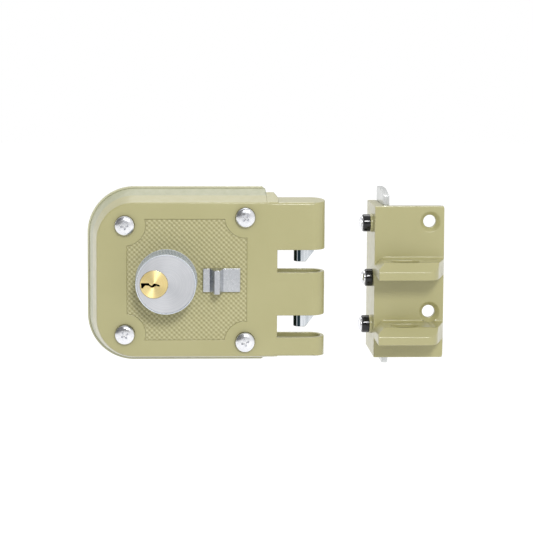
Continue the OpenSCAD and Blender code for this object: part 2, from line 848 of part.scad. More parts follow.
// Stepped studs that the carrier slides on
module guide_studs() {
    color("silver") for (p = stud_list) {
        rod_y(p[0], p[1], inner_back_y - slice, back_t + slice, stud_rivet_r);
        rod_y(p[0], p[1], carrier_back_y + slide_play, inner_back_y - carrier_back_y - slide_play,
            stud_r + stud_flange_w);
        rod_y(p[0], p[1], stud_front_y, carrier_back_y + 2 * slide_play - stud_front_y, stud_r);
        rod_y(p[0], p[1], stud_front_y, stud_head_t, stud_r + stud_flange_w);
    }
}

// Leaf spring beside the hub, with its foot on the back plate
module hub_spring() {
    x1 = hub_leaf_x + leaf_t;
    z0 = hub_leaf_z - hub_leaf_half;
    z1 = hub_leaf_z + hub_leaf_half;
    foot_y = inner_back_y - hub_foot_t;
    color("gray") difference() {
        union() {
            block(hub_leaf_x, x1, hub_front_y, bush_flange_y - slide_play, hub_leaf_end, z1);
            block(hub_leaf_x, x1, hub_front_y, inner_back_y, z0, z1);
            block(hub_leaf_x, hub_foot_end, foot_y, inner_back_y, z0, z1);
        }
        rod_y(hub_rivet_x, hub_leaf_z, foot_y - over, hub_foot_t + 2 * over, small_rivet_r);
    }
}

module hub_spring_rivet() {
    foot_y = inner_back_y - hub_foot_t;
    color("silver") {
        rod_y(hub_rivet_x, hub_leaf_z, foot_y - small_head_t, -foot_y + small_head_t, small_rivet_r);
        rod_y(hub_rivet_x, hub_leaf_z, foot_y - small_head_t, small_head_t, small_head_r);
    }
}

// Leaf spring that presses on the slide's bar
module slide_spring() {
    bar_back = bar_y + bar_t + slide_play;
    color("gray") difference() {
        union() {
            block(leaf_x, leaf_x + leaf_w, cavity_y, cavity_y + leaf_t, leaf_foot_z, leaf_knee_z);
            block(leaf_x, leaf_x + leaf_w, cavity_y, bar_back + leaf_t, leaf_knee_z - leaf_t, leaf_knee_z);
            block(leaf_x, leaf_x + leaf_w, bar_back, bar_back + leaf_t, leaf_knee_z - leaf_t, leaf_end_z);
        }
        rod_y(leaf_x + leaf_w / 2, leaf_rivet_z, cavity_y - over, leaf_t + 2 * over, small_rivet_r);
    }
}

module slide_spring_rivet() {
    color("silver") {
        rod_y(leaf_x + leaf_w / 2, leaf_rivet_z, cavity_y - leaf_rivet_len,
            leaf_rivet_len + leaf_t + small_head_t, small_rivet_r);
        rod_y(leaf_x + leaf_w / 2, leaf_rivet_z, cavity_y + leaf_t, small_head_t, small_head_r);
    }
}

module bolt_carrier() {
    color("lightgray") difference() {
        union() {
            block(fork_left, carrier_right, carrier_front_y, carrier_back_y, carrier_bottom, carrier_top);
            block(bar_left, bar_right, bolt_y - arm_t / 2, bolt_y + arm_t / 2,
                arm_list[1], arm_list[0] + arm_h);
            block(bar_left, carrier_right, bolt_y, carrier_back_y, carrier_bottom + bar_block_z, carrier_top);
            for (z = arm_list)
                block(bar_left, arm_end, bolt_y - arm_t / 2, bolt_y + arm_t / 2, z, z + arm_h);
        }
        block(0, crank_r, carrier_front_y - over, carrier_back_y + over,
            -roller_r - fork_play, roller_r + fork_play);
        rod_y(fork_end - roller_r - fork_play, 0, carrier_front_y - over, carrier_t + 2 * over,
            roller_r + fork_play);
        for (side = [-1, 1])
            rod_y(fork_left, side * fork_relief_z, carrier_front_y - over, carrier_t + 2 * over,
                fork_relief_r);
        for (p = stud_list) {
            block(p[0] - stud_r - slide_play, p[0] + stud_r + slide_play, carrier_front_y - over,
                carrier_back_y + over, p[1] - throw_up, p[1] + throw_down);
            for (z = [p[1] - throw_up, p[1] + throw_down])
                rod_y(p[0], z, carrier_front_y - over, carrier_t + 2 * over, stud_r + slide_play);
        }
        for (z = arm_list) in_xy(z - over, arm_h + 2 * over)
            translate([rivet_x, bolt_y]) circle(r = rivet_r);
    }
}

// One bolt: rounded left side, bevelled tip, notch on top for its arm
module bolt(tip_z) {
    r = bolt_d / 2;
    top = tip_z + bolt_len;
    bevel_run = bolt_w - bolt_flat;
    difference() {
        intersection() {
            in_xy(tip_z, bolt_len) union() {
                translate([bolt_x + r, bolt_y]) circle(r = r);
                translate([bolt_x + r, bolt_y - r]) square([bolt_w - r - bolt_edge, bolt_d]);
                translate([bolt_x + r, bolt_y - r + bolt_edge])
                    square([bolt_w - r, bolt_d - 2 * bolt_edge]);
            }
            in_xz(bolt_y - r - over, bolt_d + 2 * over) polygon([
                [bolt_x - over, tip_z], [bolt_x + bolt_flat, tip_z],
                [bolt_x + bolt_w, tip_z + bevel_run * tan(bolt_bevel)],
                [bolt_x + bolt_w, top], [bolt_x - over, top]
            ]);
        }
        block(bolt_x - over, arm_end, bolt_y - arm_t / 2, bolt_y + arm_t / 2, top - arm_h, top + over);
        translate([rivet_x, bolt_y, top - arm_h - rivet_len]) cylinder(h = rivet_len + over, r = rivet_r);
    }
}

module upper_bolt() {
    color("silver") bolt(bolt1_tip);
}

module lower_bolt() {
    color("silver") bolt(bolt2_tip);
}

module bolt_rivets() {
    color("dimgray") for (z = arm_list)
        translate([rivet_x, bolt_y, z - rivet_len]) cylinder(h = arm_h + rivet_len, r = rivet_r);
}

// Thumb plate with its raised rib and the stem through the case
module slide_thumb() {
    rib0 = snib_left + rib_x;
    inset = (rib_w - rib_top_w) / 2;
    plate_front = snib_y - snib_t;
    color("lightgray") difference() {
        union() {
            block(snib_left, snib_left + snib_w, plate_front, snib_y, -snib_h / 2, snib_h / 2);
            in_xy(-snib_h / 2, snib_h) polygon([
                [rib0, plate_front + slice], [rib0 + inset, plate_front - rib_h],
                [rib0 + rib_w - inset, plate_front - rib_h], [rib0 + rib_w, plate_front + slice]
            ]);
            block(stem_x, stem_x + stem_w, snib_y - slice, bar_y, -stem_h / 2, stem_h / 2);
        }
        rod_y(stem_x + stem_w / 2, 0, bar_y - slide_screw_len, slide_screw_len + over, slide_screw_r);
    }
}

module slide_bar() {
    color("gray") difference() {
        block(bar_x0, bar_x0 + bar_len, bar_y, bar_y + bar_t, -bar_h / 2, bar_h / 2);
        rod_y(stem_x + stem_w / 2, 0, bar_y - over, bar_t + 2 * over, slide_screw_r);
    }
}

module slide_screw() {
    color("silver") {
        rod_y(stem_x + stem_w / 2, 0, bar_y - slide_screw_len,
            slide_screw_len + bar_t + slide_head_t, slide_screw_r);
        rod_y(stem_x + stem_w / 2, 0, bar_y + bar_t, slide_head_t, slide_head_r);
    }
}

// Plan of a lug, with a rounded corner and a straight end back to the plate
module lug_plan() {
    arc_x = lug_end_r * sin(lug_end_angle);
    arc_y = lug_end_r * (1 - cos(lug_end_angle));
    corner_x = strike_right - (plate_y - lug_front_y - arc_y) / tan(lug_end_angle) - arc_x;
    polygon([
        [strike_x, lug_front_y], [corner_x, lug_front_y], [corner_x + arc_x, lug_front_y + arc_y],
        [strike_right, plate_y], [strike_right, plate_y + slice], [strike_x, plate_y + slice]
    ]);
    translate([corner_x, lug_front_y + lug_end_r]) circle(r = lug_end_r, $fn = 96);
}

module lug(z0) {
    top = z0 + lug_h + lug_rise;
    span = lug_h + lug_rise + lug_fillet + 2 * over;
    difference() {
        intersection() {
            in_xy(z0 - over, span) lug_plan();
            in_yz(strike_x - over, strike_w + 2 * over) polygon([
                [lug_front_y, z0], [lug_front_y, z0 + lug_face], [lug_bevel_y, z0 + lug_h],
                [plate_y - lug_fillet, top], [plate_y - edge_mid * lug_fillet, top + edge_mid * lug_fillet],
                [plate_y, top + lug_fillet], [plate_y + slice, top + lug_fillet], [plate_y + slice, z0]
            ]);
            in_xz(lug_front_y - over, case_d) polygon([
                [strike_x, z0 - over], [strike_x, top + lug_fillet - lug_cut],
                [strike_x + lug_cut, top + lug_fillet], [strike_right, top + lug_fillet],
                [strike_right, z0 - over]
            ]);
        }
        in_xy(z0 - over, span) union() {
            translate([strike_x + hole_x + hole_d / 2, hole_y - hole_d / 2])
                square([hole_w - hole_d, hole_d]);
            for (x = [hole_d / 2, hole_w - hole_d / 2])
                translate([strike_x + hole_x + x, hole_y]) circle(r = hole_d / 2);
        }
    }
}

module strike_angle() {
    color([0.73, 0.71, 0.54]) difference() {
        union() {
            block(strike_x, strike_right, plate_y, 0, strike_bottom, strike_top);
            block(strike_x, strike_x + strike_t, plate_y, flange_d, strike_bottom, strike_top);
            lug(lug1_z);
            lug(lug2_z);
        }
        for (z = [plate_hole1_z, plate_hole2_z]) {
            rod_y(strike_x + plate_hole_x, z, plate_y - sink_reach, strike_t + sink_reach + over,
                plate_hole_d / 2);
            rod_y(strike_x + plate_hole_x, z, plate_y - sink_reach, sink_reach, sink_d / 2);
            translate([strike_x + plate_hole_x, plate_y - slice, z]) rotate([-90, 0, 0])
                cylinder(h = (sink_d - plate_hole_d) / 2 + slice, r1 = sink_d / 2 + slice,
                    r2 = plate_hole_d / 2);
        }
        for (s = side_screw_list)
            rod_x(side_screw_y, s[0], strike_x - over, strike_t + 2 * over, side_screw_d / 2 + screw_play);
        block(anchor_x, anchor_x + anchor_t + slide_play, -strike_relief, over,
            strike_bottom - over, strike_top + over);
    }
}

module anchor_plate() {
    c = anchor_chamfer;
    y0 = slide_play;
    color("silver") difference() {
        in_yz(anchor_x, anchor_t) polygon([
            [y0, anchor_bottom + c], [y0 + c, anchor_bottom], [flange_d - c, anchor_bottom],
            [flange_d, anchor_bottom + c], [flange_d, anchor_top - c], [flange_d - c, anchor_top],
            [y0 + anchor_run, anchor_top], [y0, anchor_top - anchor_drop]
        ]);
        for (s = side_screw_list)
            rod_x(side_screw_y, s[0], anchor_x - over, anchor_t + 2 * over, side_screw_d / 2);
    }
}

module strike_bushings() {
    color([0.05, 0.05, 0.05]) for (s = side_screw_list) difference() {
        rod_x(side_screw_y, s[0], strike_x - s[1], s[1], bushing_d / 2);
        rod_x(side_screw_y, s[0], strike_x - s[1] - over, s[1] + 2 * over, side_screw_d / 2 + screw_play);
    }
}

// Side screws, with their domed heads against the bushings
module strike_screws() {
    color("silver") for (s = side_screw_list) translate([strike_x - s[1], side_screw_y, s[0]]) {
        rotate([0, -90, 0]) rotate_extrude()
            polygon(dome_points(side_head_d / 2, s[2] - s[1], side_head_flat));
        translate([-side_head_flat, 0, 0]) rotate([0, 90, 0])
            cylinder(h = side_head_flat + s[1] + side_screw_len - side_point, r = side_screw_d / 2);
        translate([s[1] + side_screw_len - side_point, 0, 0]) rotate([0, 90, 0])
            cylinder(h = side_point, r1 = side_screw_d / 2, r2 = point_r);
    }
}

case_body();
back_plate();
back_plate_screws();
door_screws();
cylinder_collar();
cylinder_shell();
cylinder_nut();
chamber_cover();
driver_pins();
pin_springs();
hub_bush();
guide_studs();
hub_spring();
hub_spring_rivet();
slide_spring();
slide_spring_rivet();
plug();
key_pins();
plug_clip();
tailpiece();
tailpiece_pin();
drive_hub();
crank_pin();
crank_roller();
bolt_carrier();
upper_bolt();
lower_bolt();
bolt_rivets();
slide_thumb();
slide_bar();
slide_screw();
strike_angle();
anchor_plate();
strike_bushings();
strike_screws();
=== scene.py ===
import json
import math

import bmesh
import bpy
from mathutils import Matrix, Vector
from mathutils.bvhtree import BVHTree

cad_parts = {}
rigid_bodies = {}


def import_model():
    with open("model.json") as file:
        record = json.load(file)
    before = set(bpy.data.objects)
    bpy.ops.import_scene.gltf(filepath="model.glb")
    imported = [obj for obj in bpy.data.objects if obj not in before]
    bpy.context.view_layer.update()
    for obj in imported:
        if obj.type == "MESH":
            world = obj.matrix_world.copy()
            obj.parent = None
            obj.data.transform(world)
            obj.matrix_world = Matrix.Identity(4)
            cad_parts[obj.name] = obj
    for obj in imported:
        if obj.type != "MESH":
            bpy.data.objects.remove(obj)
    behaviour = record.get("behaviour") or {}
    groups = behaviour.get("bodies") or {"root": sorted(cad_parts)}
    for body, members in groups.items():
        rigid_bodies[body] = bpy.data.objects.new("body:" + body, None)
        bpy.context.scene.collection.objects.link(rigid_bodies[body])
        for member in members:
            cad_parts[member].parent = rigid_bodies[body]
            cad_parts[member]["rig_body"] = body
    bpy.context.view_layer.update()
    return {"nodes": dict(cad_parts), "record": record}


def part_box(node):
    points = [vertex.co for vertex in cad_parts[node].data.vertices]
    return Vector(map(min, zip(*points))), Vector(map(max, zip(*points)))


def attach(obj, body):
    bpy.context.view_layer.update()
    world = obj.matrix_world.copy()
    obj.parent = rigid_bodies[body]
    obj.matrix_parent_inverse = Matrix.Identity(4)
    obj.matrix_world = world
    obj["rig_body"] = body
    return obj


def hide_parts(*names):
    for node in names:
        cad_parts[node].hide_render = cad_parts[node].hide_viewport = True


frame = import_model()
MM = 0.001
scene = bpy.context.scene
scene.view_settings.view_transform = "Standard"

# Sizes shared with the CAD, in millimetres; PANEL and STEM give the ends in X and in Z
FRONT_Y, PANEL_Y = -21, -20.5
PANEL = (-12.5, 41.6, -27.5, 27.5)
PAD_R = 9.4
DOOR_SCREWS = [(-13.5, 24.8), (-13.5, -24.8), (40.9, 28.4), (40.9, -28.4)]
CYL_X = 5.27
COLLAR_BASE_R, COLLAR_R, COLLAR_FRONT_Y = 14.0, 13.55, -33.5
HEAD_Y, HEAD_R, HEAD_SEAT_Y, BODY_R = -33.1, 12.85, -30.9, 12.0
PLUG_R = 6.25
STEM = (28.3, 37.7, -2.7, 2.7)
STRIKE_X, SIDE_Y = 101.9, 4.2
STRIKE_CORNERS = [(134.4, 31.6), (134.4, -39.7)]

# Side screws: height, length of the bushing and reach of the dome; and how far each boss stands out
SIDE_SCREWS = [(22.8, 4.9, 6.3), (-3.2, 3.5, 5.5), (-25.4, 4.9, 6.3)]
BOSSES = (1.3, 0, 1.3)

# Bolts: where the ground nose begins, and the middle of the painted highlight stripe before it
NOSE_X, HIGHLIGHT_STRIPE_X = 66.4, 64.9

# Panel's knurl: pitches, foot and the heights of its two sets of ridges
KNURL_X, KNURL_Z = 2.24, 2.22
KNURL_FOOT_Y = -20.53
RIDGE, CROSS_RIDGE = 0.25, 0.18
KNURL_PEAK_Y = KNURL_FOOT_Y - RIDGE - CROSS_RIDGE

# Collar's knurl: where it starts and ends, its depth, rows and points round the collar
COLLAR_KNURL_Y = (-21.6, -32.7)
COLLAR_KNURL_DEPTH, COLLAR_KNURL_ROWS, COLLAR_SIDES = 0.5, 14, 128

# Outline of the keyway in X and Z, and where it ends inside the plug
KEYWAY = [(-5.75, 0.55), (-5.6, 0.67), (-2.3, 0.67), (-1.9, 0.0), (-0.9, -0.5), (-0.4, 0.2), (0.3, 0.53),
          (1.2, 0.25), (2.6, -0.25), (2.7, -0.85), (2.2, -0.95), (1.0, -0.6), (0.5, -0.85), (-0.5, -1.4),
          (-1.2, -1.35), (-2.3, -0.6), (-3.3, -0.45), (-3.8, -0.45), (-4.6, -1.2), (-4.8, -1.7), (-5.6, -1.7)]
KEYWAY_BACK_Y = -13.5

# Duller rear of the deep box: where it fades in along Y and where it stops along X
REAR_Y, REAR_X = (-11.75, -11.6), (50.9, 51.0)

# Widths of the rounded edges, and the radius of the strike plate's corners
EDGE_WIDTHS = {"case_body": 0.4, "back_plate": 0.3, "strike_angle": 0.4, "anchor_plate": 0.3,
               "upper_bolt": 0.3, "lower_bolt": 0.3, "slide_thumb": 0.25}
CORNER_R = 1.3


def collar_r(y):
    """Radius of the collar's tapered side."""
    return COLLAR_BASE_R + (COLLAR_R - COLLAR_BASE_R) * (PANEL_Y - y) / (PANEL_Y - COLLAR_FRONT_Y)


# Camera: place in millimetres, turns in degrees away from looking along Y, and lens
CAM_POS = (17.9, -610.1, 100.0)
CAM_YAW, CAM_PITCH, CAM_ROLL = 1.979, -4.418, 0.229
CAM_SENSOR, CAM_LENS, CAM_SHIFT = 36, 88.85, (0.05, -0.20)


def camera():
    data = bpy.data.cameras.new("camera")
    data.sensor_width = CAM_SENSOR
    data.lens = CAM_LENS
    data.shift_x, data.shift_y = CAM_SHIFT
    data.clip_start = 0.01
    cam = bpy.data.objects.new("camera", data)
    scene.collection.objects.link(cam)
    scene.camera = cam
    yaw, pitch, roll = (math.radians(a) for a in (CAM_YAW, CAM_PITCH, CAM_ROLL))
    forward = Vector((math.sin(yaw) * math.cos(pitch), math.cos(yaw) * math.cos(pitch), math.sin(pitch)))
    right = Vector((math.cos(yaw), -math.sin(yaw), 0))
    up = right.cross(forward)
    rolled_right = right * math.cos(roll) + up * math.sin(roll)
    rolled_up = up * math.cos(roll) - right * math.sin(roll)
    turn = Matrix((rolled_right, rolled_up, -forward)).transposed().to_4x4()
    cam.matrix_world = Matrix.Translation(Vector(CAM_POS) * MM) @ turn


camera()

# Square lights: place and side in metres, and watts; all aim at one point of the lock
LIGHTS = {"key": ((0.20, -1.01, 0.60), 0.24, 6.0),
          "back_top": ((0.05, 0.55, 0.85), 0.5, 2.3),
          "back_left": ((-0.85, 0.45, 0.15), 0.5, 1.8)}
AIM = Vector((0.05, -0.01, 0))


def area(name, place, side, watts):
    data = bpy.data.lights.new(name, "AREA")
    data.shape = "SQUARE"
    data.size = side
    data.energy = watts
    ob = bpy.data.objects.new(name, data)
    scene.collection.objects.link(ob)
    ob.location = place
    ob.rotation_euler = (AIM - Vector(place)).to_track_quat("-Z", "Y").to_euler()


for name, values in LIGHTS.items():
    area(name, *values)


# Node helpers, for the world, the floor and the materials
def node_in(tree, kind, **settings):
    n = tree.nodes.new(kind)
    for key, value in settings.items():
        setattr(n, key, value)
    return n


def maths_in(tree, op, a, b=None):
    """One operation on sockets or numbers."""
    n = node_in(tree, "ShaderNodeMath", operation=op)
    for k, value in enumerate((a, b)):
        if isinstance(value, (int, float)):
            n.inputs[k].default_value = value
        elif value is not None:
            tree.links.new(value, n.inputs[k])
    return n.outputs[0]


def ramp_in(tree, source, to_lo, to_hi, from_lo, from_hi, curve="LINEAR"):
    """Goes from to_lo to to_hi while the source goes from from_lo to from_hi."""
    n = node_in(tree, "ShaderNodeMapRange", interpolation_type=curve)
    for key, value in (("From Min", from_lo), ("From Max", from_hi), ("To Min", to_lo), ("To Max", to_hi)):
        n.inputs[key].default_value = value
    tree.links.new(source, n.inputs["Value"])
    return n.outputs[0]


def rays_in(tree, *kinds):
    """1 for rays of any of the named kinds, otherwise 0."""
    path = node_in(tree, "ShaderNodeLightPath")
    out = path.outputs[kinds[0]]
    for kind in kinds[1:]:
        out = maths_in(tree, "MAXIMUM", out, path.outputs[kind])
    return out


def mix_in(tree, fac, a, b, output):
    """Mix two shaders and send them to the output node."""
    mix = node_in(tree, "ShaderNodeMixShader")
    tree.links.new(fac, mix.inputs[0])
    tree.links.new(a.outputs[0], mix.inputs[1])
    tree.links.new(b.outputs[0], mix.inputs[2])
    tree.links.new(mix.outputs[0], tree.nodes[output].inputs[0])


DIRECT = ("Is Camera Ray", "Is Glossy Ray", "Is Transmission Ray")

# World: strength of the sky and of the studio, its flags and the axis from its front left to its right rear
SKY, STUDIO_ABOVE, STUDIO_BELOW = 0.65, 0.82, 0.45
LEFT_FLAG, RIGHT_FLAG = 0.2, 0.6
FLAG_AXIS = (1, 0.8, 0)


def world_light():
    """Diffuse surfaces get an even dim sky, and the camera sees plain white. Gloss and glass show a
    studio with a dark flag at its front left, a lighter one at its right rear and less light below."""
    world = bpy.data.worlds.new("world")
    scene.world = world
    world.use_nodes = True
    tree = world.node_tree
    sky = tree.nodes["Background"]
    sky.inputs["Color"].default_value = (1, 1, 1, 1)
    sky.inputs["Strength"].default_value = SKY
    studio = node_in(tree, "ShaderNodeBackground")
    studio.inputs["Color"].default_value = (1, 1, 1, 1)
    direction = node_in(tree, "ShaderNodeTexCoord").outputs["Generated"]
    axes = node_in(tree, "ShaderNodeSeparateXYZ")
    tree.links.new(direction, axes.inputs[0])
    across = node_in(tree, "ShaderNodeVectorMath", operation="DOT_PRODUCT")
    across.inputs[1].default_value = FLAG_AXIS
    tree.links.new(direction, across.inputs[0])
    left = ramp_in(tree, across.outputs["Value"], LEFT_FLAG, 1, -0.75, -0.3)
    right = ramp_in(tree, across.outputs["Value"], 1, RIGHT_FLAG, 0.84, 0.98)
    height = ramp_in(tree, axes.outputs[2], STUDIO_BELOW, STUDIO_ABOVE, -0.75, -0.15, "SMOOTHSTEP")
    shaped = maths_in(tree, "MULTIPLY", maths_in(tree, "MULTIPLY", left, right), height)
    level = node_in(tree, "ShaderNodeMix", data_type="FLOAT")
    tree.links.new(rays_in(tree, "Is Camera Ray"), level.inputs[0])
    tree.links.new(shaped, level.inputs[2])
    level.inputs[3].default_value = 1
    tree.links.new(level.outputs[0], studio.inputs["Strength"])
    mix_in(tree, rays_in(tree, *DIRECT), sky, studio, "World Output")


world_light()


# Materials: colours are the 0 to 255 values seen on a screen
def linear(rgb):
    return tuple(c / 255 / 12.92 if c <= 10 else ((c / 255 + 0.055) / 1.055) ** 2.4 for c in rgb)


class Shader:
    """A Principled material with helpers for its procedural detail."""

    def __init__(self, name, rgb, metallic, roughness):
        self.mat = bpy.data.materials.new(name)
        self.mat.use_nodes = True
        self.tree = self.mat.node_tree
        self.bsdf = self.tree.nodes["Principled BSDF"]
        self.bsdf.inputs["Base Color"].default_value = (*linear(rgb), 1)
        self.bsdf.inputs["Metallic"].default_value = metallic
        self.bsdf.inputs["Roughness"].default_value = roughness
        self.coord = self.add("ShaderNodeTexCoord").outputs["Object"]

    def link(self, source, target):
        self.tree.links.new(source, target)

    def add(self, kind, **settings):
        return node_in(self.tree, kind, **settings)

    def maths(self, op, a, b=None):
        return maths_in(self.tree, op, a, b)

    def span(self, source, lo, hi, from_lo=0.3, from_hi=0.7):
        return ramp_in(self.tree, source, lo, hi, from_lo, from_hi)

    def between(self, source, start, end, lo=0, hi=1):
        """Goes from lo to hi between two places in millimetres."""
        return self.span(source, lo, hi, start * MM, end * MM)

    def axes(self):
        """X, Y and Z of the shaded point, in metres."""
        split = self.add("ShaderNodeSeparateXYZ")
        self.link(self.coord, split.inputs[0])
        return split.outputs

    def radius(self, centre_x):
        """Distance of the shaded point from an axis along Y."""
        x, _, z = self.axes()
        x = self.maths("SUBTRACT", x, centre_x * MM)
        squares = [self.maths("MULTIPLY", part, part) for part in (x, z)]
        return self.maths("SQRT", self.maths("ADD", *squares))

    def mapped(self, stretch, turn):
        n = self.add("ShaderNodeMapping")
        n.inputs["Scale"].default_value = stretch
        n.inputs["Rotation"].default_value = turn
        self.link(self.coord, n.inputs["Vector"])
        return n.outputs[0]

    def noise(self, scale, detail=3, rough=0.5, stretch=None, turn=(0, 0, 0)):
        n = self.add("ShaderNodeTexNoise")
        n.inputs["Scale"].default_value = scale
        n.inputs["Detail"].default_value = detail
        n.inputs["Roughness"].default_value = rough
        self.link(self.mapped(stretch, turn) if stretch else self.coord, n.inputs["Vector"])
        return n.outputs["Fac"]

    def blend(self, fac, a, b):
        """Mix two colours, each a socket or three numbers."""
        n = self.add("ShaderNodeMix", data_type="RGBA")
        self.link(fac, n.inputs[0])
        for value, key in ((a, 6), (b, 7)):
            if isinstance(value, tuple):
                n.inputs[key].default_value = (*linear(value), 1)
            else:
                self.link(value, n.inputs[key])
        return n.outputs[2]

    def bump(self, height, distance, strength, under=None):
        """Bump of a distance in millimetres, over another bump if one is given."""
        n = self.add("ShaderNodeBump")
        n.inputs["Distance"].default_value = distance * MM
        n.inputs["Strength"].default_value = strength
        self.link(height, n.inputs["Height"])
        if under is not None:
            self.link(under, n.inputs["Normal"])
        return n.outputs[0]

    def edges(self, radius):
        """1 on edges and corners, 0 on open faces."""
        bevel = self.add("ShaderNodeBevel", samples=4)
        bevel.inputs["Radius"].default_value = radius * MM
        geo = self.add("ShaderNodeNewGeometry")
        dot = self.add("ShaderNodeVectorMath", operation="DOT_PRODUCT")
        self.link(bevel.outputs[0], dot.inputs[0])
        self.link(geo.outputs["Normal"], dot.inputs[1])
        return self.span(dot.outputs["Value"], 1, 0, 0.85, 0.99)

    def finish(self, colour, rough, normal):
        """Link the three looks and return the material."""
        for source, key in ((colour, "Base Color"), (rough, "Roughness"), (normal, "Normal")):
            self.link(source, self.bsdf.inputs[key])
        return self.mat


def paint(name, light, dark, wear, roughness=0.36, coat=0.6, rear=None, valleys=None):
    """Baked enamel: slight tone drift, orange peel, lighter where it wears thin on the edges.
    Rear gives the two duller tones at the back of the deep box; the valleys colour is painted shade, darker
    towards the foot of the panel's knurl."""
    s = Shader(name, light, 0, roughness)
    tone = s.blend(s.span(s.noise(38, 4), 0, 1), light, dark)
    worn = s.maths("MULTIPLY", s.edges(0.5), s.span(s.noise(700, 3), 0.05, 0.4))
    tone = s.blend(worn, tone, wear)
    rough = s.span(s.noise(320, 3), roughness - 0.05, roughness + 0.08)
    if rear:
        x, y, _ = s.axes()
        behind = s.maths("MULTIPLY", s.between(y, *REAR_Y), s.between(x, *REAR_X, 1, 0))
        grime = s.blend(s.span(s.noise(260, 5, 0.65, (1, 0.5, 1)), 0, 1, 0.35, 0.65), *rear)
        tone = s.blend(behind, tone, grime)
        rough = s.maths("ADD", rough, s.maths("MULTIPLY", behind, 0.12))
    # Painted shade: the colour darkens towards the foot of the knurl's valleys
    if valleys:
        tone = s.blend(s.between(s.axes()[1], KNURL_PEAK_Y, KNURL_FOOT_Y), tone, valleys)
    s.bsdf.inputs["IOR"].default_value = 1.55
    s.bsdf.inputs["Coat Weight"].default_value = coat
    s.bsdf.inputs["Coat Roughness"].default_value = 0.23
    peel = s.bump(s.noise(520, 2), 0.02, 0.5)
    return s.finish(tone, rough, s.bump(s.noise(4200, 2), 0.004, 0.4, peel))


def brushed(name, light, dark, roughness, grain, scale, bump, spots=None, rim=None):
    """Metal with grain lines, faint blotches and fine scratches.
    Rim is a painted shade round a door screw's edge, where its head comes down to the paint."""
    s = Shader(name, light, 1, roughness)
    lines = s.noise(scale, 3, 0.6, grain)
    tone = s.blend(s.span(lines, 0, 0.55, 0.35, 0.65), light, dark)
    tone = s.blend(s.span(s.noise(90, 3), 0, 0.5), tone, dark)
    if spots:
        tone = s.blend(s.span(s.noise(420, 4, 0.7), 0, 0.8, 0.6, 0.75), tone, spots)
    if rim:
        # Painted shade: a dark ring where a door screw's head comes down to the paint
        y = s.axes()[1]
        low = s.between(y, FRONT_Y - 1.7, FRONT_Y - 1.2)
        head = s.between(y, FRONT_Y, FRONT_Y + 0.4, 1, 0)
        tone = s.blend(s.maths("MULTIPLY", low, head), tone, rim)
    rough = s.span(lines, roughness - 0.07, roughness + 0.1)
    scratches = s.noise(1400, 2, 0.5, (0.05, 1, 1), (0.3, 0.5, 0.9))
    return s.finish(tone, rough, s.bump(scratches, bump, 0.5, s.bump(lines, bump * 1.5, 0.6)))


def turned(name, light, dark, roughness, centre_x, pitch, anisotropy, deep=None):
    """Metal faced on a lathe round an axis along Y: fine concentric marks, a pitch apart.
    Deep is the painted shade inside the keyway."""
    s = Shader(name, light, 1, roughness)
    wobble = s.maths("ADD", s.maths("MULTIPLY", s.radius(centre_x), 1 / (pitch * MM)),
                     s.span(s.noise(60, 2), 0, 1.5))
    rings = s.add("ShaderNodeTexNoise", noise_dimensions="1D")
    rings.inputs["Scale"].default_value = 1
    rings.inputs["Detail"].default_value = 4
    s.link(wobble, rings.inputs["W"])
    marks = rings.outputs["Fac"]
    tone = s.blend(s.span(marks, 0, 0.5, 0.35, 0.7), light, dark)
    tone = s.blend(s.span(s.noise(130, 3), 0, 0.35), tone, dark)
    if deep:
        # Painted shade: dark inside the keyway, deeper than the plug's face
        tone = s.blend(s.between(s.axes()[1], HEAD_Y + 0.15, HEAD_Y + 0.6), tone, deep)
    s.bsdf.inputs["Anisotropic"].default_value = anisotropy
    s.bsdf.inputs["Anisotropic Rotation"].default_value = 0.25
    tangent = s.add("ShaderNodeTangent", direction_type="RADIAL", axis="Y")
    s.link(tangent.outputs[0], s.bsdf.inputs["Tangent"])
    return s.finish(tone, s.span(marks, roughness - 0.06, roughness + 0.1), s.bump(marks, 0.006, 0.5))


def collar_metal(name, light, dark, valley_shade):
    """Satin chrome, with painted shade darkening the valleys of the knurl round the tapered collar."""
    s = Shader(name, light, 0.35, 0.26)
    y = s.axes()[1]
    lines = s.noise(800, 3, 0.6, (0.3, 1, 0.3))
    tone = s.blend(s.span(lines, 0, 0.6, 0.35, 0.65), light, dark)
    # Painted shade: darker where the surface sinks below the knurl's crests
    crest = s.maths("ADD", s.maths("MULTIPLY", y, collar_r(1) - collar_r(0)), collar_r(0) * MM)
    sunk = s.between(s.maths("SUBTRACT", crest, s.radius(CYL_X)), 0.12, 0.42)
    knurled = s.between(y, COLLAR_KNURL_Y[1] - 0.2, COLLAR_KNURL_Y[1])
    tone = s.blend(s.maths("MULTIPLY", sunk, knurled), tone, valley_shade)
    return s.finish(tone, s.span(lines, 0.2, 0.34), s.bump(lines, 0.008, 0.6))


def bolt_metal(name, light, dark, dark_reflection):
    """Drawn steel, painted dark behind the ground nose as a painted reflection and shade, and left bright in
    one painted highlight stripe there.
    """
    s = Shader(name, light, 1, 0.2)
    x = s.axes()[0]
    lines = s.noise(1000, 3, 0.6, (1, 1, 0.06))
    tone = s.blend(s.span(lines, 0, 0.5, 0.35, 0.65), light, dark)
    # Painted reflection and shade: dark behind the nose, except for one painted highlight stripe
    behind = s.between(x, NOSE_X - 0.1, NOSE_X + 0.1, 1, 0)
    beside = s.between(s.maths("ABSOLUTE", s.maths("SUBTRACT", x, HIGHLIGHT_STRIPE_X * MM)), 0.12, 0.22, 0.3, 1)
    tone = s.blend(s.maths("MULTIPLY", behind, beside), tone, dark_reflection)
    return s.finish(tone, s.span(lines, 0.14, 0.3), s.bump(lines, 0.005, 0.6))


